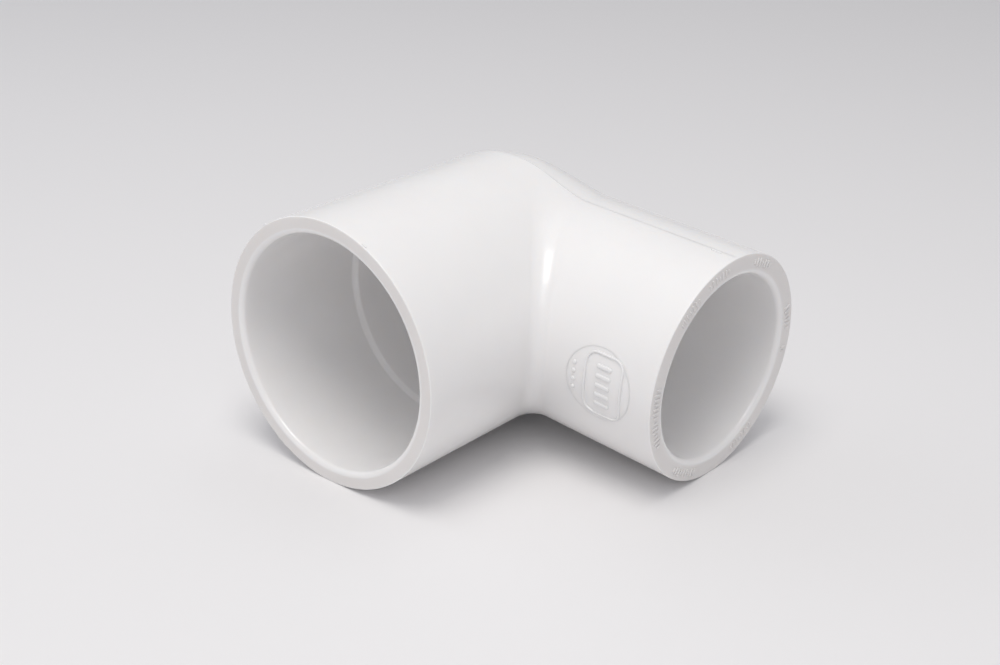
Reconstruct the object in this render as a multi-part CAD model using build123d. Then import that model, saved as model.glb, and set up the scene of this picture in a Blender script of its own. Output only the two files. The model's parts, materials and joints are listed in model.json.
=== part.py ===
"""Reducing 90 degree pipe elbow with two solvent-weld sockets, in millimetres.

The fitting lies on a flat surface, which is the plane z = 0. The large socket opens
towards -Y on a level axis. The small socket opens towards +X, and its axis droops a
little, because the smaller rim comes down until it touches the surface.

Every feature is drawn in the fitting's own axes first: the two socket axes cross at the
origin, the large one along -Y and the small one along +X, both level. The last step turns
and lifts all the pieces together into the lying position.
"""
from build123d import *
from math import asin, degrees, hypot
import os

os.makedirs("parts", exist_ok=True)

# Large hub, for pipe of 60.33 mm outside diameter
LARGE_REACH = 66.8            # crossing of the axes to the large rim
LARGE_RIM_R = 34.65           # outside radius at the rim
LARGE_BASE_R = 34.25          # outside radius level with the crossing
LARGE_SOCKET_R = 30.2         # socket radius, the mean of the standard's slight taper
LARGE_DEPTH = 38.1            # socket depth
LARGE_PASSAGE_R = 28.9        # waterway beyond the pipe stop
LARGE_DOME = 23.5             # how far the closed end stands past the crossing

# Small hub, for pipe of 48.26 mm outside diameter
SMALL_REACH = 69.8
SMALL_RIM_R = 29.75
SMALL_BASE_R = 29.0
SMALL_SOCKET_R = 24.17
SMALL_DEPTH = 34.9
SMALL_PASSAGE_R = 22.9

# Wall details shared by both hubs
STOP_RUN = 1.5                # length of the sloping pipe stop
LEAD_IN_R = 1.3               # rounding of the socket's entrance edge
RIM_EDGE_R = 0.4              # rounding of the rim's outer edge
BLEND_R = 3.5                 # blend between the two hubs outside
HEEL_WALL = 5.3               # thickness of the closed end

# Parting ridge, in the plane of the small axis that is square to the large one
RIDGE_HEIGHT = 0.15
RIDGE_WIDTH = 0.35
RIDGE_CLEAR = 0.004           # keeps the flat-sided ridge off the hubs' tapers
RIDGE_GAP = 8.0               # plain stretch left at the rim's underside

# Raised panel on the small hub, facing the way the large socket opens
PANEL_X = 55.2                # centre, measured along the small axis
PANEL_LENGTH = 11.6           # along the small axis
PANEL_HEIGHT = 17.0
PANEL_CORNER_R = 3.2
PANEL_LINE = 0.7              # width of the raised line
PANEL_RAISE = 0.35            # height above the hub
BAR_COUNT = 5
BAR_LENGTH = 4.6
BAR_WIDTH = 1.2
BAR_PITCH = 2.5
DOT_COUNT = 4
DOT_SIZE = 1.3
DOT_PITCH = 2.2
DOT_X = 46.4

# Raised ticks on the small rim: (first angle in degrees, number of ticks)
TICK_GROUPS = [
    (4, 6), (58, 7), (97, 7), (122, 7), (171, 7), (190, 7), (233, 9), (288, 8), (350, 2),
]
TICK_PITCH = 2.6              # degrees from tick to tick
TICK_WIDTH = 0.5
TICK_LONG = 2.3
TICK_SHORT = 1.3
TICK_RAISE = 0.3
TICK_R = 27.5                 # radius of the middle of each tick

# Trimming nibs left on the large rim's outer edge
NIB_ANGLES = [130, 71]        # degrees round the large rim, from +X towards +Z
NIB_LENGTH = 1.6
NIB_WIDTH = 0.5
NIB_RAISE = 0.3


def along_large(shape):
    """Turn a shape drawn along +X so that it lies along the large axis, -Y."""
    return Rot(0, 0, -90) * shape


def turned(outline):
    """Revolve a closed outline of (distance along the axis, radius) edges about +X."""
    return revolve(make_face(outline), Axis.X)


def hub(reach, rim_r, base_r, dome):
    """Outside of one hub: tapered, square at the rim, with a rounded closed end."""
    start = -dome
    outline = [
        Line((start, 0), (reach, 0)),
        Line((reach, 0), (reach, rim_r - RIM_EDGE_R)),
        Line((reach, rim_r - RIM_EDGE_R), (reach - RIM_EDGE_R, rim_r)),
        Line((reach - RIM_EDGE_R, rim_r), (0, base_r)),
        EllipticalCenterArc((0, 0), dome, base_r, start_angle=90, arc_size=90),
    ]
    return turned(outline)


def waterway(reach, socket_r, depth, passage_r, dome):
    """Inside of one hub: rounded entrance, socket, sloping pipe stop, passage, closed end."""
    seat = reach - depth
    entry = reach - LEAD_IN_R
    outline = [
        Line((-dome, 0), (reach, 0)),
        Line((reach, 0), (reach, socket_r + LEAD_IN_R)),
        RadiusArc((reach, socket_r + LEAD_IN_R), (entry, socket_r), -LEAD_IN_R),
        Line((entry, socket_r), (seat, socket_r)),
        Line((seat, socket_r), (seat - STOP_RUN, passage_r)),
        Line((seat - STOP_RUN, passage_r), (0, passage_r)),
        EllipticalCenterArc((0, 0), dome, passage_r, start_angle=90, arc_size=90),
    ]
    return turned(outline)


def outer_form():
    """Both hubs joined, with a blend all round where they meet."""
    large = along_large(hub(LARGE_REACH, LARGE_RIM_R, LARGE_BASE_R, LARGE_DOME))
    small = hub(SMALL_REACH, SMALL_RIM_R, SMALL_BASE_R, SMALL_BASE_R)
    joined = large + small
    meeting = joined.edges().filter_by(GeomType.BSPLINE)
    return joined.fillet(BLEND_R, meeting)


def inner_form():
    """Both waterways joined: the space that the water and the two pipes take up."""
    large = waterway(LARGE_REACH, LARGE_SOCKET_R, LARGE_DEPTH, LARGE_PASSAGE_R, LARGE_DOME - HEEL_WALL)
    small = waterway(SMALL_REACH, SMALL_SOCKET_R, SMALL_DEPTH, SMALL_PASSAGE_R, SMALL_PASSAGE_R)
    return along_large(large) + small


def small_taper(extra):
    """Outline of the small hub's outside, from its axis, made larger all round by extra."""
    shoulder = SMALL_REACH - RIM_EDGE_R
    corners = [(0, 0), (shoulder, 0), (shoulder, SMALL_RIM_R + extra), (0, SMALL_BASE_R + extra)]
    return Polyline(*corners, close=True)


def ridge_section(extra):
    """The fitting's outline in the parting plane, made larger all round by extra."""
    half = make_face(small_taper(extra))
    section = Circle(LARGE_BASE_R + extra) + half + mirror(half, Plane.XZ)
    corners = section.vertices().filter_by_position(Axis.X, 1, SMALL_REACH / 2)
    return fillet(corners, BLEND_R - extra)


def parting_ridge():
    """Fine raised line where the two mould halves met, all round except across the small rim."""
    line = ridge_section(RIDGE_HEIGHT) - ridge_section(RIDGE_CLEAR)
    underside = Pos(SMALL_REACH, -SMALL_RIM_R) * Rectangle(2 * RIDGE_GAP, SMALL_RIM_R)
    return extrude(Plane.XZ * (line - underside), RIDGE_WIDTH / 2, both=True)


def hub_skin(thickness):
    """Layer of the given thickness over the small hub's taper, for what is raised on it."""
    return turned(small_taper(thickness)) - turned(small_taper(0))


def side_panel():
    """Raised frame with plain bars in it and a column of dots beside it."""
    frame = RectangleRounded(PANEL_LENGTH, PANEL_HEIGHT, PANEL_CORNER_R) - RectangleRounded(
        PANEL_LENGTH - 2 * PANEL_LINE, PANEL_HEIGHT - 2 * PANEL_LINE, PANEL_CORNER_R - PANEL_LINE
    )
    marks = [Pos(PANEL_X, 0) * frame]
    for index in range(BAR_COUNT):
        height = (index - (BAR_COUNT - 1) / 2) * BAR_PITCH
        marks.append(Pos(PANEL_X, height) * SlotOverall(BAR_LENGTH, BAR_WIDTH))
    for index in range(DOT_COUNT):
        height = (index - (DOT_COUNT - 1) / 2) * DOT_PITCH
        marks.append(Pos(DOT_X, height) * Circle(DOT_SIZE / 2))
    facing = Plane(origin=(0, 0, 0), x_dir=(1, 0, 0), z_dir=(0, -1, 0))
    skin = hub_skin(PANEL_RAISE)
    return [skin & extrude(facing * mark, SMALL_RIM_R + 2) for mark in marks]


def rim_ticks():
    """Groups of short raised ticks round the small rim, every third one short."""
    ticks = []
    for first, count in TICK_GROUPS:
        for index in range(count):
            angle = first + index * TICK_PITCH
            length = TICK_LONG if index % 3 else TICK_SHORT
            tick = Box(TICK_RAISE, TICK_WIDTH, length)
            seat = Pos(SMALL_REACH + TICK_RAISE / 2, 0, TICK_R)
            ticks.append(Rot(angle - 90, 0, 0) * seat * tick)
    return ticks


def rim_nibs():
    """Tiny stubs of trimmed flash on the large rim's outer edge."""
    nibs = []
    ring = Pos(LARGE_REACH - RIM_EDGE_R - NIB_WIDTH / 2, 0, 0) * Rot(0, 90, 0) * (
        Cylinder(LARGE_RIM_R + NIB_RAISE, NIB_WIDTH) - Cylinder(LARGE_RIM_R, NIB_WIDTH)
    )
    for angle in NIB_ANGLES:
        window = Rot(angle - 90, 0, 0) * Pos(LARGE_REACH, 0, LARGE_RIM_R) * Box(
            4 * NIB_WIDTH, NIB_LENGTH, 4 * NIB_RAISE + 1
        )
        nibs.append(along_large(ring & window))
    return nibs


def lying_position(nodes):
    """Turn about the large axis until the small rim touches down, then stand on z = 0."""
    reach = hypot(SMALL_REACH, SMALL_RIM_R)
    droop = degrees(asin(LARGE_RIM_R / reach) - asin(SMALL_RIM_R / reach))
    turn = Rot(0, droop, 0)
    everything = Compound(children=[turn * piece for pieces in nodes.values() for piece in pieces])
    box = everything.bounding_box()
    middle = box.center()
    return Pos(-middle.X, -middle.Y, -box.min.Z) * turn


def save(place, name, pieces):
    """Write one node as a STEP file, with its pieces as separate solids."""
    solids = [solid for piece in pieces for solid in (place * piece).solids()]
    shape = solids[0] if len(solids) == 1 else Compound(children=solids)
    export_step(shape, f"parts/{name}.step")


NODES = {
    "elbow_body": [outer_form() - inner_form()],
    "parting_ridge": [parting_ridge()],
    "side_panel": side_panel(),
    "rim_ticks": rim_ticks(),
    "rim_nibs": rim_nibs(),
}
PLACE = lying_position(NODES)
for node_name, node_pieces in NODES.items():
    save(PLACE, node_name, node_pieces)
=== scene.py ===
"""Looks of a reducing PVC pipe elbow that lies on a pale table, built around its CAD frame.

The moulding is one closed skin, made of rings of points that run once round the wall: along
the outside, over the small rim, back along the inside and over the large rim. Shapes are
worked out in the fitting's own axes, in millimetres: the socket axes cross at the origin, the
small socket opens along +X and the large one along -Y. place() carries them into the frame.
"""
import json
from math import cos, pi, radians, sin

import bmesh
import bpy
import numpy as np
from mathutils import Matrix, Vector


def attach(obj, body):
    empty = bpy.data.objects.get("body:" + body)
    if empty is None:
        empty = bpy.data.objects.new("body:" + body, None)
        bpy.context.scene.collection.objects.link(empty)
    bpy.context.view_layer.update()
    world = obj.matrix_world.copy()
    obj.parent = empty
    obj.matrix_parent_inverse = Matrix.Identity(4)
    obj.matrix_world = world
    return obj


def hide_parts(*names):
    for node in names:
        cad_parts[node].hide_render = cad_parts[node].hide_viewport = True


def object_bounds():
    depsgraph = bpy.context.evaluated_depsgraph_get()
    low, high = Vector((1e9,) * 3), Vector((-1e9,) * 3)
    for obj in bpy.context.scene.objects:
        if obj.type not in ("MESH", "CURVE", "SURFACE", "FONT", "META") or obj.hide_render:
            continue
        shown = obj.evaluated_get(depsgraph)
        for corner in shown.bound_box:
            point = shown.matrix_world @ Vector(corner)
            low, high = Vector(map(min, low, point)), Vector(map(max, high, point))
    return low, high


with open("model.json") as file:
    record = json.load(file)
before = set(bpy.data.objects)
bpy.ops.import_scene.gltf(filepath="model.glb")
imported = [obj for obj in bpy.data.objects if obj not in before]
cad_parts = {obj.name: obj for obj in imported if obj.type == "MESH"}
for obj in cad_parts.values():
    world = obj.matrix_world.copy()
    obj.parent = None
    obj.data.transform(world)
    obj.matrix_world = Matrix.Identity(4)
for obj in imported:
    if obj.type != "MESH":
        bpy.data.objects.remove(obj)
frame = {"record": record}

MM = 0.001
CAD_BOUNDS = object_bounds()
MOUNTS = {mount["name"]: mount for mount in frame["record"]["mounts"]}

# Hubs: reach is from the crossing to the rim, radii are outside unless named otherwise
LARGE_REACH = 66.8
LARGE_RIM_R = 34.65
LARGE_BASE_R = 34.25
LARGE_MOUTH_R = 30.31
LARGE_SEAT_R = 30.09
LARGE_DEPTH = 38.1
LARGE_PASSAGE_R = 28.9
LARGE_DOME = 23.5
SMALL_REACH = 69.8
SMALL_RIM_R = 29.75
SMALL_BASE_R = 29.0
SMALL_MOUTH_R = 24.28
SMALL_SEAT_R = 24.05
SMALL_DEPTH = 34.9
SMALL_PASSAGE_R = 22.9
HEEL_WALL = 5.3
STOP_RUN = 1.5

# Roundings
RIM_EDGE_R = 0.25
LEAD_IN_R = 1.4
STOP_ROUND = 0.5              # soft run before the pipe stop's slope
STOP_SLOPE = (0.12, 0.9)      # where the slope begins and ends, as shares of the whole stop
CROTCH_BLEND = 3.6            # between the hubs on their inner side
HEEL_BLEND = 4.2              # and round the closed end
HEEL_BLEND_RUN = 16.0         # how far past the crossing the one turns into the other
INSIDE_BLEND = 2.0
CREASE_SLOPE = 0.16           # how far the closed end turns in at once, as rise over run
CREASE_RUN = 7.0              # and over what length that fades

# Mesh fineness
AROUND = 384                  # points round each ring
BEND_STEPS = 150
ARC_STEPS = 8
HUB_STEPS = 8                 # along a hub's outside
RIM_STEPS = 5                 # across its rim
SOCKET_STEPS = 12             # down its socket
PASSAGE_STEPS = 2             # and from the stop to the bend
CIRCLE_STEPS = 160
DOT_STEPS = 24
OUTLINE_STEPS = 1500
PATH_STEP = 0.4               # millimetres between the points of a drawn line
HALVINGS = 40                 # steps that narrow a surface point down
BEND_REACH = 80.0             # furthest a bend ring is looked for from its centre
OUTLINE_REACH = 90.0          # and the parting outline from its eye
GRADIENT_STEP = 0.01
DOUBLED = 1e-7                # metres apart that still count as one point
FLAT_TOLERANCE = 0.005        # millimetres off a rim's plane that still count as on it
PIVOT_CLEARANCE = 1.0         # gap from a pipe stop to the bend's rings

# Plane fans that the bend's rings lie in: both turn about an upright line near the crotch
OUTER_PIVOT = (46.0, -46.0)
INNER_PIVOT = (
    SMALL_REACH - SMALL_DEPTH - STOP_RUN - PIVOT_CLEARANCE,
    LARGE_DEPTH + STOP_RUN + PIVOT_CLEARANCE - LARGE_REACH,
)

# Parting flash, and the small dash beside it on top of the small hub
RIDGE_HEIGHT = 0.1
RIDGE_WIDTH = 0.4
RIDGE_GAP = 8.0
RIDGE_EYE_X = 10.0            # point on the small axis that the outline is seen from
RIDGE_FADE_FROM = 38.0        # along the small hub, where the ridge starts to fade
RIDGE_FADE_TO = 54.0
RIDGE_FAINTEST = 0.1          # share of its height that is left after that
RIDGE_END_RUN = 1.5           # length over which it rises from either end
RIDGE_END_SHARE = 0.1         # share of its height right at the end
GATE_X = 63.9
GATE_ARC = 46.0               # arc from the -Y side, so just on the -Y side of the top
GATE_LENGTH = 2.4
GATE_WIDTH = 0.8
GATE_RAISE = 0.25

# Raised panel on the small hub, facing the way the large socket opens
PANEL_X = 55.2
PANEL_LENGTH = 11.6
PANEL_HEIGHT = 17.0
PANEL_CORNER_R = 3.2
PANEL_LINE = 0.7
PANEL_RAISE = 0.35
BAR_COUNT = 5
BAR_LENGTH = 4.6
BAR_WIDTH = 1.2
BAR_PITCH = 2.5
DOT_COUNT = 4
DOT_SIZE = 1.3
DOT_PITCH = 2.2
DOT_X = 46.4
INSERT_RING_X = 53.9
INSERT_RING_R = 9.6
INSERT_RING_WIDTH = 0.3
INSERT_RING_RAISE = 0.025

# Raised ticks on the small rim: (first angle in degrees, number of ticks)
TICK_GROUPS = [
    (4, 6), (58, 7), (97, 7), (122, 7), (171, 7), (190, 7), (233, 9), (288, 8), (350, 2),
]
TICK_PITCH = 2.6
TICK_WIDTH = 0.5
TICK_LONG = 2.3
TICK_SHORT = 1.3
TICK_RAISE = 0.3
TICK_R = 27.5

# Trimming nibs on the large rim, degrees round it from +X towards +Z
NIB_ANGLES = [130, 71]
NIB_LENGTH = 1.6
NIB_WIDTH = 0.5
NIB_RAISE = 0.3

# Materials
PVC_LIGHT = (0.925, 0.914, 0.908, 1.0)
PVC_SHADE = (0.905, 0.893, 0.887, 1.0)
PVC_ROUGHNESS = 0.22
ROUGHNESS_SPREAD = 0.035
PVC_IOR = 1.53
# Rim colours, darker than the body's: painted shade on the flat rim faces and their ticks; the higher rim
# roughness gives the rim a matt finish
RIM_PAINTED_SHADE_LIGHT = (0.84, 0.815, 0.8, 1.0)
RIM_PAINTED_SHADE_DARK = (0.81, 0.786, 0.77, 1.0)
RIM_ROUGHNESS = 0.45
TABLE_LIGHT = (0.865, 0.855, 0.858, 1.0)
TABLE_SHADE = (0.855, 0.845, 0.848, 1.0)

# Stage: lights are (name, place, size, power, colour), in metres and watts
TABLE_SIZE = 8.0
LIGHT_AIM = (0.0, 0.0, 0.03)
ROOM_COLOUR = (0.965, 0.965, 1.0, 1.0)
ROOM_STRENGTH = 0.46
LIGHTS = [
    ("key", (0.11, -0.24, 0.8), 0.4, 2.8, (1.0, 0.975, 0.94)),
    ("front", (0.35, -0.45, 0.7), 0.5, 0.8, (0.93, 0.96, 1.0)),
    ("side", (-0.7, -0.2, 0.4), 0.5, 0.5, (0.9, 0.94, 1.0)),
    ("back", (0.0, 0.15, 0.8), 0.4, 0.3, (0.95, 0.97, 1.0)),
]

# Camera, in degrees, millimetres of lens and metres
VIEW_AZIMUTH = 41.099
VIEW_ELEVATION = 24.679
VIEW_ROLL = 0.390
VIEW_LENS = 62.259
VIEW_SENSOR = 36.0            # width of the sensor, in millimetres
VIEW_DISTANCE = 0.43778
AIM_RIGHT = -0.00400
AIM_UP = -0.00424


# ---------------------------------------------------------------- the frame

def fitting_axes():
    """Origin and unit axes of the fitting, from the two socket mounts."""
    large = Vector(MOUNTS["large_socket"]["pos_m"])
    small = Vector(MOUNTS["small_socket"]["pos_m"])
    crossing = Vector((large.x, small.y, large.z))
    small_way = Vector(MOUNTS["small_socket"]["axis"]).normalized()
    back_way = -Vector(MOUNTS["large_socket"]["axis"]).normalized()
    return crossing, small_way, back_way, small_way.cross(back_way)


CROSSING, SMALL_WAY, BACK_WAY, UP_WAY = fitting_axes()
AXES = np.array([SMALL_WAY, BACK_WAY, UP_WAY])


def place(points):
    """Carry fitting coordinates in millimetres into the frame, in metres."""
    return np.asarray(points, float) @ AXES * MM + np.array(CROSSING)


# ---------------------------------------------------------------- the moulding's form

def domed_cone(along, across, base_r, rim_r, reach, dome, crease=0.0):
    """Distance to a tapered hub with half an ellipsoid as its closed end, creased softly where it starts."""
    straight = across - (base_r + (rim_r - base_r) * along / reach)
    back = np.maximum(-along, 0)
    girth = base_r - crease * back * np.exp(-back / CREASE_RUN)
    near = np.hypot(across / girth, along / dome)
    steep = np.hypot(across / girth**2, along / dome**2)
    domed = near * (near - 1) / np.maximum(steep, 1e-9)
    return np.where(along > 0, straight, domed)


def round_union(first, second, radius):
    """Join two distance fields with a circular blend of the given radius."""
    into_first = np.maximum(radius - first, 0)
    into_second = np.maximum(radius - second, 0)
    return np.maximum(radius, np.minimum(first, second)) - np.hypot(into_first, into_second)


def smooth_step(value, low, high):
    """0 below low, 1 above high, and a smooth rise between them."""
    share = np.clip((value - low) / (high - low), 0, 1)
    return share * share * (3 - 2 * share)


def outside(x, y, z):
    """Distance outside the moulding's outer skin."""
    large = domed_cone(
        -y, np.hypot(x, z), LARGE_BASE_R, LARGE_RIM_R, LARGE_REACH, LARGE_DOME, CREASE_SLOPE
    )
    small = domed_cone(x, np.hypot(y, z), SMALL_BASE_R, SMALL_RIM_R, SMALL_REACH, SMALL_BASE_R)
    radius = CROTCH_BLEND + (HEEL_BLEND - CROTCH_BLEND) * smooth_step(y, 0, HEEL_BLEND_RUN)
    return round_union(large, small, radius)


def inside(x, y, z):
    """Distance outside the waterway, which is hollow."""
    dome = LARGE_DOME - HEEL_WALL
    large = domed_cone(-y, np.hypot(x, z), LARGE_PASSAGE_R, LARGE_PASSAGE_R, LARGE_REACH, dome)
    small = domed_cone(x, np.hypot(y, z), SMALL_PASSAGE_R, SMALL_PASSAGE_R, SMALL_REACH, SMALL_PASSAGE_R)
    return round_union(large, small, INSIDE_BLEND)


def surface_hit(field, start, way, limit):
    """First point from each start, along each way, where the field turns positive."""
    low = np.zeros(way.shape[:-1])
    high = np.broadcast_to(limit, low.shape).copy()
    for _ in range(HALVINGS):
        middle = (low + high) / 2
        point = start + way * middle[..., None]
        free = field(point[..., 0], point[..., 1], point[..., 2]) > 0
        high = np.where(free, middle, high)
        low = np.where(free, low, middle)
    return start + way * high[..., None]


def surface_normal(field, points):
    """Unit gradient of the field at each point."""
    parts = []
    for shift in np.eye(3) * GRADIENT_STEP:
        ahead = points + shift
        behind = points - shift
        parts.append(field(*np.moveaxis(ahead, -1, 0)) - field(*np.moveaxis(behind, -1, 0)))
    gradient = np.stack(parts, -1)
    return gradient / np.linalg.norm(gradient, axis=-1, keepdims=True)


# ---------------------------------------------------------------- rings round the wall

TURN = np.linspace(0, 2 * pi, AROUND, endpoint=False)


def bend_rings(field, pivot):
    """Rings from the large hub's side to the small one's, where a fan of planes cuts the field."""
    share = np.linspace(0, 1, BEND_STEPS + 1)
    angle = share * pi / 2
    outward = np.stack([-np.cos(angle), np.sin(angle), 0 * angle], -1)
    arm = pivot[0] * (1 - share) - pivot[1] * share
    centre = np.array([pivot[0], pivot[1], 0.0]) + outward * arm[:, None]
    up = np.array([0.0, 0.0, 1.0])
    way = np.cos(TURN)[None, :, None] * outward[:, None] + np.sin(TURN)[None, :, None] * up
    inward = np.maximum(-np.cos(TURN), 1e-6)
    limit = np.minimum(BEND_REACH, 0.999 * arm[:, None] / inward[None])
    return surface_hit(field, centre[:, None], way, limit)


def hub_rings(profile, large):
    """Rings turned about one hub's axis, for each (distance from the crossing, radius)."""
    rings = []
    for along, radius in profile:
        if large:
            ring = np.stack([-radius * np.cos(TURN), np.full(AROUND, -along), radius * np.sin(TURN)], -1)
        else:
            ring = np.stack([np.full(AROUND, along), radius * np.cos(TURN), radius * np.sin(TURN)], -1)
        rings.append(ring)
    return rings


def arc(centre, radius, start, end, steps=ARC_STEPS):
    """Points of a circular arc in a profile, angles in degrees."""
    angles = np.radians(np.linspace(start, end, steps + 1))
    return [(centre[0] + radius * cos(a), centre[1] + radius * sin(a)) for a in angles]


def straight(start, end, steps):
    """Evenly spaced points from start to end, both included."""
    return [tuple(point) for point in np.linspace(start, end, steps + 1)]


def hub_profile(reach, base_r, rim_r, mouth_r, seat_r, depth, passage_r, pivot_out, pivot_in):
    """Wall outline of one hub: up the outside, over the rim, down the socket and past the stop."""
    slope = (rim_r - base_r) / reach
    edge = RIM_EDGE_R
    shoulder = (reach - edge, rim_r - edge)
    seat = reach - depth
    taper = (mouth_r - seat_r) / (depth - LEAD_IN_R)
    points = straight((pivot_out, base_r + slope * pivot_out), (reach - 2 * edge, rim_r), HUB_STEPS)[1:]
    points += arc(shoulder, edge, 90, 0)
    flat_in = mouth_r + LEAD_IN_R
    points += straight((reach, shoulder[1]), (reach, flat_in), RIM_STEPS)[1:-1]
    points += arc((reach - LEAD_IN_R, flat_in), LEAD_IN_R, 0, -90)
    entry = (reach - LEAD_IN_R, mouth_r)
    bottom = (seat + STOP_ROUND, seat_r + taper * STOP_ROUND)
    points += straight(entry, bottom, SOCKET_STEPS)[1:-1]
    points += stop_profile(seat, seat_r, passage_r)
    points += straight((seat - STOP_RUN, passage_r), (pivot_in, passage_r), PASSAGE_STEPS)[1:-1]
    return points


def stop_profile(seat, seat_r, passage_r):
    """Sloping pipe stop at the socket's bottom, with a soft inner corner and a rounded lip."""
    steps = 3 * ARC_STEPS
    share = np.linspace(0, 1, steps + 1)
    along = seat + STOP_ROUND - (STOP_RUN + STOP_ROUND) * share
    radius = seat_r + (passage_r - seat_r) * smooth_step(share, *STOP_SLOPE)
    return list(zip(along, radius))


def moulding_rings():
    """All rings in order, once round the wall; the last ring joins the first."""
    small = hub_profile(
        SMALL_REACH, SMALL_BASE_R, SMALL_RIM_R, SMALL_MOUTH_R, SMALL_SEAT_R,
        SMALL_DEPTH, SMALL_PASSAGE_R, OUTER_PIVOT[0], INNER_PIVOT[0],
    )
    large = hub_profile(
        LARGE_REACH, LARGE_BASE_R, LARGE_RIM_R, LARGE_MOUTH_R, LARGE_SEAT_R,
        LARGE_DEPTH, LARGE_PASSAGE_R, -OUTER_PIVOT[1], -INNER_PIVOT[1],
    )
    rings = list(bend_rings(outside, OUTER_PIVOT))
    rings += hub_rings(small, large=False)
    rings += list(bend_rings(inside, INNER_PIVOT))[::-1]
    rings += hub_rings(large[::-1], large=True)
    return np.array(rings)


# ---------------------------------------------------------------- mesh making

def grid_faces(rows, columns, close_rows, close_columns):
    """Quads of a rows by columns grid of points, closed one way, both ways or neither."""
    faces = []
    for row in range(rows if close_rows else rows - 1):
        below = row * columns
        above = (row + 1) % rows * columns
        for column in range(columns if close_columns else columns - 1):
            after = (column + 1) % columns
            faces.append((below + column, below + after, above + after, above + column))
    return faces


def make_piece(name, parts, material, node=None):
    """Build one object from (points, faces) parts in fitting coordinates and ride it on the frame."""
    points = []
    faces = []
    for part_points, part_faces in parts:
        offset = len(points)
        points.extend(place(part_points).tolist())
        faces.extend([[offset + index for index in face] for face in part_faces])
    mesh = bpy.data.meshes.new(name)
    mesh.from_pydata(points, [], faces)
    mesh.validate()
    mesh.update()
    tidy_mesh(mesh)
    mesh.materials.append(material)
    piece = bpy.data.objects.new(name, mesh)
    bpy.context.scene.collection.objects.link(piece)
    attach(piece, "root")
    if node:
        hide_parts(node)
    return piece


def tidy_mesh(mesh):
    """Merge doubled points, turn every face outward and shade smoothly."""
    work = bmesh.new()
    work.from_mesh(mesh)
    bmesh.ops.remove_doubles(work, verts=work.verts, dist=DOUBLED)
    bmesh.ops.recalc_face_normals(work, faces=work.faces)
    for face in work.faces:
        face.smooth = True
    work.to_mesh(mesh)
    work.free()


def moulding(material, rim_material_painted_shade):
    """The elbow itself, one closed skin, with its two flat rim faces in a rougher finish and a darker colour
    that is painted shade.
    """
    rings = moulding_rings()
    faces = grid_faces(len(rings), AROUND, True, True)
    piece = make_piece("elbow_moulding", [(rings.reshape(-1, 3), faces)], material, "elbow_body")
    piece.data.materials.append(rim_material_painted_shade)
    # The flat rim faces take the second material, whose darker colour is painted shade
    rims = ((SMALL_WAY, SMALL_REACH), (-BACK_WAY, LARGE_REACH))
    for face in piece.data.polygons:
        for way, reach in rims:
            if abs((face.center - CROSSING).dot(way) / MM - reach) < FLAT_TOLERANCE:
                face.material_index = 1
    return piece


# ---------------------------------------------------------------- raised marks

# Share of a mark's half width, and share of its height, from its sunk foot to its crown
SOFT_SECTION = [
    (0.0, -0.35), (1.0, -0.35), (1.0, 0.0), (0.86, 0.55), (0.68, 0.86), (0.4, 1.0), (0.0, 1.0),
]


def around_section():
    """The soft section once round, from one sunk foot over the crown to the other."""
    near_side = SOFT_SECTION[1:]
    far_side = [(-across, level) for across, level in near_side[-2::-1]]
    return near_side + far_side


def on_small_hub(along, around, height):
    """Wrap (distance along the axis, arc from the -Y side, height) onto the small hub's skin."""
    radius = SMALL_BASE_R + (SMALL_RIM_R - SMALL_BASE_R) * along / SMALL_REACH
    angle = around / radius
    out = radius + height
    return np.stack([along, -out * np.cos(angle), out * np.sin(angle)], -1)


def on_large_hub(along, around, height):
    """Wrap (distance along the axis, arc from the +X side, height) onto the large hub's skin."""
    radius = LARGE_BASE_R + (LARGE_RIM_R - LARGE_BASE_R) * along / LARGE_REACH
    angle = around / radius
    out = radius + height
    return np.stack([out * np.cos(angle), -along, out * np.sin(angle)], -1)


def on_small_rim(angle, radius, height):
    """Lay (angle from +Y towards +Z, radius, height) on the small rim's flat face."""
    return np.stack([SMALL_REACH + height, radius * np.cos(angle), radius * np.sin(angle)], -1)


def pillow(outline, height, wrap):
    """A soft raised spot: outline(share) gives its closed flat loop at a share of its half width."""
    points = []
    for share, level in SOFT_SECTION:
        flat = np.asarray(outline(share), float)
        points.append(wrap(flat[:, 0], flat[:, 1], np.full(len(flat), level * height)))
    return np.concatenate(points), grid_faces(len(points), len(points[0]), False, True)


def capsule(start, end, width):
    """Outline maker for a straight bar with half-round ends."""
    start, end = np.array(start, float), np.array(end, float)
    ahead = (end - start) / np.linalg.norm(end - start)
    side = np.array([-ahead[1], ahead[0]])

    def outline(share):
        radius = share * width / 2
        loop = []
        for centre, turned in ((end, -90), (start, 90)):
            for angle in np.radians(np.linspace(turned, turned + 180, ARC_STEPS + 1)):
                loop.append(centre + radius * (cos(angle) * ahead + sin(angle) * side))
        return loop

    return outline


def spot(centre, size):
    """Outline maker for a round dot."""
    def outline(share):
        return np.array(centre) + circle(share * size / 2, DOT_STEPS)

    return outline


def circle(radius, steps):
    """Closed path of a circle centred on (0, 0)."""
    angles = np.linspace(0, 2 * pi, steps, endpoint=False)
    return np.stack([radius * np.cos(angles), radius * np.sin(angles)], -1)


def rounded_rectangle(width, height, corner):
    """Closed path of a rounded rectangle centred on (0, 0), in short steps."""
    corners = []
    for index, (across, up) in enumerate(((1, 1), (-1, 1), (-1, -1), (1, -1))):
        centre = (across * (width / 2 - corner), up * (height / 2 - corner))
        corners += arc(centre, corner, 90 * index, 90 * index + 90)
    return even_steps(corners + corners[:1], PATH_STEP)[:-1]


def even_steps(path, step):
    """The same path with its points about one step apart."""
    path = np.asarray(path, float)
    run = np.concatenate([[0], np.cumsum(np.linalg.norm(np.diff(path, axis=0), axis=1))])
    marks = np.linspace(0, run[-1], int(run[-1] / step) + 2)
    return np.stack([np.interp(marks, run, path[:, axis]) for axis in range(path.shape[1])], -1)


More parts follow.
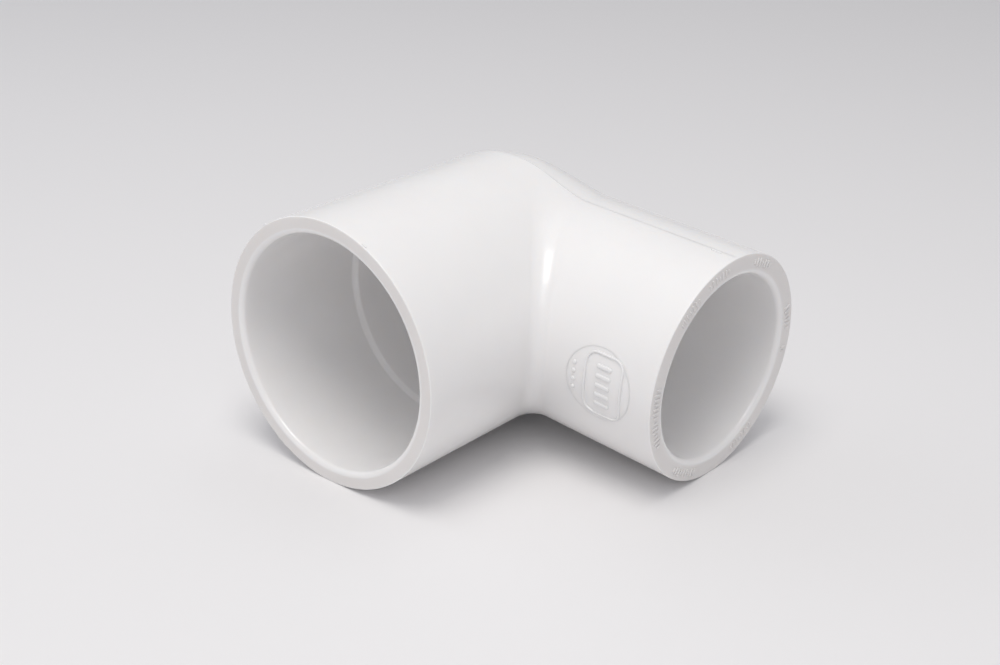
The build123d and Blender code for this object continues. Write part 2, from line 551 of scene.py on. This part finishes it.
def closed_line(path, width, height, wrap):
    """A soft raised line along a closed flat path."""
    path = np.asarray(path, float)
    ahead = np.roll(path, -1, 0) - np.roll(path, 1, 0)
    ahead /= np.linalg.norm(ahead, axis=1, keepdims=True)
    side = np.stack([-ahead[:, 1], ahead[:, 0]], -1)
    points = []
    for across, level in around_section():
        flat = path + side * across * width / 2
        points.append(wrap(flat[:, 0], flat[:, 1], np.full(len(flat), level * height)))
    return np.concatenate(points), grid_faces(len(points), len(path), True, True)


def side_panel(material):
    """Frame, bars, dots and the mould insert's faint ring on the small hub's -Y side."""
    def panel(along, around, height):
        return on_small_hub(PANEL_X + along, around, height)

    outline = rounded_rectangle(
        PANEL_LENGTH - PANEL_LINE, PANEL_HEIGHT - PANEL_LINE, PANEL_CORNER_R - PANEL_LINE / 2
    )
    ring = circle(INSERT_RING_R, CIRCLE_STEPS) + np.array([INSERT_RING_X - PANEL_X, 0.0])
    parts = [
        closed_line(outline, PANEL_LINE, PANEL_RAISE, panel),
        closed_line(ring, INSERT_RING_WIDTH, INSERT_RING_RAISE, panel),
    ]
    reach = (BAR_LENGTH - BAR_WIDTH) / 2
    for index in range(BAR_COUNT):
        around = (index - (BAR_COUNT - 1) / 2) * BAR_PITCH
        parts.append(pillow(capsule((-reach, around), (reach, around), BAR_WIDTH), PANEL_RAISE, panel))
    for index in range(DOT_COUNT):
        centre = (DOT_X - PANEL_X, (index - (DOT_COUNT - 1) / 2) * DOT_PITCH)
        parts.append(pillow(spot(centre, DOT_SIZE), PANEL_RAISE, panel))
    return make_piece("side_panel_marks", parts, material, "side_panel")


def rim_ticks(material):
    """Groups of short raised ticks round the small rim, every third one short."""
    parts = []
    for first, count in TICK_GROUPS:
        for index in range(count):
            angle = radians(first + index * TICK_PITCH)
            length = TICK_LONG if index % 3 else TICK_SHORT
            reach = (length - TICK_WIDTH) / 2

            def on_rim(across, outward, height, angle=angle):
                return on_small_rim(angle + across / TICK_R, TICK_R + outward, height)

            parts.append(pillow(capsule((0, -reach), (0, reach), TICK_WIDTH), TICK_RAISE, on_rim))
    return make_piece("rim_tick_marks", parts, material, "rim_ticks")


def rim_nibs(material):
    """Stubs of trimmed flash on the large rim's outer edge."""
    along = LARGE_REACH - RIM_EDGE_R - NIB_WIDTH / 2
    parts = []
    for angle in NIB_ANGLES:
        middle = radians(angle) * LARGE_RIM_R
        reach = (NIB_LENGTH - NIB_WIDTH) / 2
        outline = capsule((along, middle - reach), (along, middle + reach), NIB_WIDTH)
        parts.append(pillow(outline, NIB_RAISE, on_large_hub))
    return make_piece("rim_trim_nibs", parts, material, "rim_nibs")


def uneven(run):
    """Share of its full height that a worn line keeps along its run: two waves round a half."""
    return 0.5 + 0.35 * np.sin(run / 7.3) + 0.25 * np.sin(run / 2.1 + 2)


def parting_ridge(material):
    """Flash line in the plane y = 0, wearing away along the small hub, and the small dash beside it."""
    start = np.array([RIDGE_EYE_X, 0.0, 0.0])
    stop_x = SMALL_REACH - RIM_EDGE_R
    first = np.arctan2(SMALL_RIM_R, stop_x - RIDGE_EYE_X)
    last = 2 * pi - np.arctan2(SMALL_RIM_R, stop_x - RIDGE_GAP - RIDGE_EYE_X)
    angles = np.linspace(first, last, OUTLINE_STEPS)
    way = np.stack([np.cos(angles), 0 * angles, np.sin(angles)], -1)
    path = even_steps(surface_hit(outside, start, way, OUTLINE_REACH), PATH_STEP)
    out = surface_normal(outside, path)
    run = np.arange(len(path)) * PATH_STEP
    worn = 1 - smooth_step(path[:, 0], RIDGE_FADE_FROM, RIDGE_FADE_TO)
    ends = np.minimum(1, np.minimum(run, run[::-1]) / RIDGE_END_RUN + RIDGE_END_SHARE)
    height = RIDGE_HEIGHT * np.clip(uneven(run) * worn, RIDGE_FAINTEST, 1) * ends
    side = np.array([0.0, RIDGE_WIDTH / 2, 0.0])
    points = [path + side * across + out * (level * height)[:, None] for across, level in around_section()]
    rows, columns = len(points), len(path)
    faces = grid_faces(rows, columns, True, False)
    faces.append([row * columns for row in range(rows)])
    faces.append([row * columns + columns - 1 for row in range(rows)])
    dash = capsule((GATE_X - GATE_LENGTH / 2, GATE_ARC), (GATE_X + GATE_LENGTH / 2, GATE_ARC), GATE_WIDTH)
    parts = [(np.concatenate(points), faces), pillow(dash, GATE_RAISE, on_small_hub)]
    return make_piece("parting_flash", parts, material, "parting_ridge")


# ---------------------------------------------------------------- materials

def node_maker(tree):
    """Short way to add a shader node, set its inputs and link others into it."""
    def add(kind, settings=(), **inputs):
        node = tree.nodes.new(kind)
        for name, value in dict(settings).items():
            setattr(node, name, value)
        for name, value in inputs.items():
            socket = node.inputs[name.replace("_", " ")]
            if isinstance(value, bpy.types.NodeSocket):
                tree.links.new(value, socket)
            else:
                socket.default_value = value
        return node

    return add


def blank_material(name):
    """A new material with its node maker and an empty tree."""
    material = bpy.data.materials.new(name)
    material.use_nodes = True
    material.node_tree.nodes.clear()
    return material, node_maker(material.node_tree)


def moulded_pvc(name, light, shade, roughness):
    """White rigid PVC with slight flow shading, uneven gloss and two sizes of orange peel."""
    material, add = blank_material(name)
    where = add("ShaderNodeTexCoord").outputs["Object"]
    cloud = add("ShaderNodeTexNoise", Vector=where, Scale=45.0, Detail=4.0, Roughness=0.55)
    tint = add("ShaderNodeValToRGB", Fac=cloud.outputs["Fac"])
    tint.color_ramp.elements[0].position = 0.3
    tint.color_ramp.elements[0].color = shade
    tint.color_ramp.elements[1].position = 0.7
    tint.color_ramp.elements[1].color = light
    wear = add("ShaderNodeTexNoise", Vector=where, Scale=260.0, Detail=5.0, Roughness=0.6)
    gloss = add("ShaderNodeMapRange", Value=wear.outputs["Fac"], From_Min=0.3, From_Max=0.7)
    gloss.inputs["To Min"].default_value = roughness - ROUGHNESS_SPREAD
    gloss.inputs["To Max"].default_value = roughness + ROUGHNESS_SPREAD
    swell = add("ShaderNodeTexNoise", Vector=where, Scale=110.0, Detail=1.0)
    peel = add("ShaderNodeTexNoise", Vector=where, Scale=750.0, Detail=1.0)
    low = add("ShaderNodeBump", Height=swell.outputs["Fac"], Strength=0.3, Distance=0.00015)
    fine = add(
        "ShaderNodeBump", Height=peel.outputs["Fac"], Strength=0.2, Distance=0.00001,
        Normal=low.outputs["Normal"],
    )
    skin = add(
        "ShaderNodeBsdfPrincipled",
        Base_Color=tint.outputs["Color"],
        Roughness=gloss.outputs["Result"],
        Normal=fine.outputs["Normal"],
        IOR=PVC_IOR,
        Subsurface_Weight=0.25,
        Subsurface_Radius=(1.0, 0.9, 0.8),
        Subsurface_Scale=0.0012,
    )
    add("ShaderNodeOutputMaterial", Surface=skin.outputs["BSDF"])
    return material


def pale_table():
    """Plain matt white table top."""
    material, add = blank_material("pale_table")
    where = add("ShaderNodeTexCoord").outputs["Object"]
    cloud = add("ShaderNodeTexNoise", Vector=where, Scale=6.0, Detail=3.0)
    tint = add("ShaderNodeValToRGB", Fac=cloud.outputs["Fac"])
    tint.color_ramp.elements[0].color = TABLE_SHADE
    tint.color_ramp.elements[1].color = TABLE_LIGHT
    skin = add(
        "ShaderNodeBsdfPrincipled", Base_Color=tint.outputs["Color"], Roughness=0.75, IOR=1.4
    )
    add("ShaderNodeOutputMaterial", Surface=skin.outputs["BSDF"])
    return material


# ---------------------------------------------------------------- stage

def table():
    """The floor, a wide square at the height the fitting rests on."""
    half = TABLE_SIZE / 2
    corners = [(-half, -half, 0), (half, -half, 0), (half, half, 0), (-half, half, 0)]
    mesh = bpy.data.meshes.new("table_top")
    mesh.from_pydata(corners, [], [(0, 1, 2, 3)])
    mesh.materials.append(pale_table())
    top = bpy.data.objects.new("table_top", mesh)
    bpy.context.scene.collection.objects.link(top)


def soft_light(name, where, size, power, colour):
    """A square area light that looks at the fitting."""
    lamp = bpy.data.lights.new(name, "AREA")
    lamp.shape = "SQUARE"
    lamp.size = size
    lamp.energy = power
    lamp.color = colour
    holder = bpy.data.objects.new(name, lamp)
    holder.location = where
    holder.rotation_euler = (Vector(LIGHT_AIM) - Vector(where)).to_track_quat("-Z", "Y").to_euler()
    bpy.context.scene.collection.objects.link(holder)


def studio():
    """Even pale surroundings and soft lights."""
    world = bpy.data.worlds.new("soft_room")
    world.use_nodes = True
    sky = world.node_tree.nodes["Background"]
    sky.inputs["Color"].default_value = ROOM_COLOUR
    sky.inputs["Strength"].default_value = ROOM_STRENGTH
    bpy.context.scene.world = world
    for lamp in LIGHTS:
        soft_light(*lamp)


def camera():
    """Camera aimed a little beside the middle of the fitting's box, and plain tone mapping."""
    low, high = CAD_BOUNDS
    turn, rise, roll = (radians(angle) for angle in (VIEW_AZIMUTH, VIEW_ELEVATION, VIEW_ROLL))
    back = Vector((sin(turn) * cos(rise), -cos(turn) * cos(rise), sin(rise)))
    level_right = (-back).cross(Vector((0, 0, 1))).normalized()
    level_up = level_right.cross(-back)
    right = level_right * cos(roll) + level_up * sin(roll)
    up = level_up * cos(roll) - level_right * sin(roll)
    aim = (low + high) / 2 + level_right * AIM_RIGHT + level_up * AIM_UP
    lens = bpy.data.cameras.new("photo_view")
    lens.lens = VIEW_LENS
    lens.sensor_width = VIEW_SENSOR
    lens.sensor_fit = "HORIZONTAL"
    lens.clip_start = 0.01
    holder = bpy.data.objects.new("photo_view", lens)
    turned = Matrix((right, up, back)).transposed().to_4x4()
    holder.matrix_world = Matrix.Translation(aim + back * VIEW_DISTANCE) @ turned
    bpy.context.scene.collection.objects.link(holder)
    bpy.context.scene.camera = holder
    bpy.context.scene.view_settings.view_transform = "Standard"


pvc = moulded_pvc("white_moulded_pvc", PVC_LIGHT, PVC_SHADE, PVC_ROUGHNESS)
# Rim material: matt finish, and a darker colour that is painted shade on the rim faces and rim ticks
rim_finish_painted_shade = moulded_pvc("matt_rim_painted_shade", RIM_PAINTED_SHADE_LIGHT, RIM_PAINTED_SHADE_DARK, RIM_ROUGHNESS)
moulding(pvc, rim_finish_painted_shade)
parting_ridge(pvc)
side_panel(pvc)
rim_ticks(rim_finish_painted_shade)
rim_nibs(pvc)
table()
studio()
camera()
